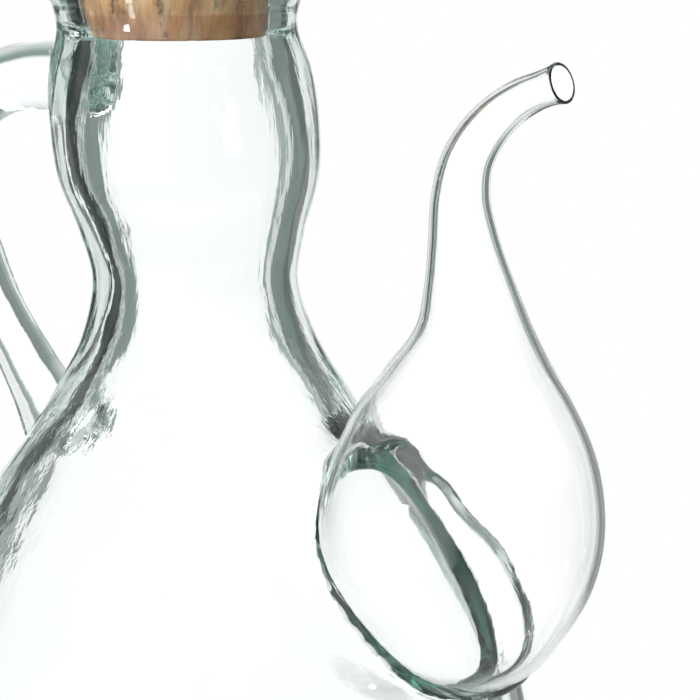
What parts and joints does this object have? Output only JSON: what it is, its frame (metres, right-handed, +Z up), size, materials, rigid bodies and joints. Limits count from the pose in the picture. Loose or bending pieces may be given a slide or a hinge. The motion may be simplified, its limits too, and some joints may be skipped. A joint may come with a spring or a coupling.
{
  "type": "oil bottle",
  "caption": "Clear, faintly green hand-blown glass oil bottle with a looped handle, a thin bulbous pouring spout and a tapered cork stopper.",
  "frame": {"origin": "middle of the flat base", "axes": "+Z up, +X towards the spout, handle on the -X side"},
  "size_m": [0.141, 0.1168, 0.183],
  "materials": {
    "glass": "clear hand-blown glass with a faint green tint",
    "cork": "matte natural cork with dark pores"
  },
  "bodies": {
    "root": {"bottle": "glass", "cork_stopper": "cork"}
  },
  "joints": []
}
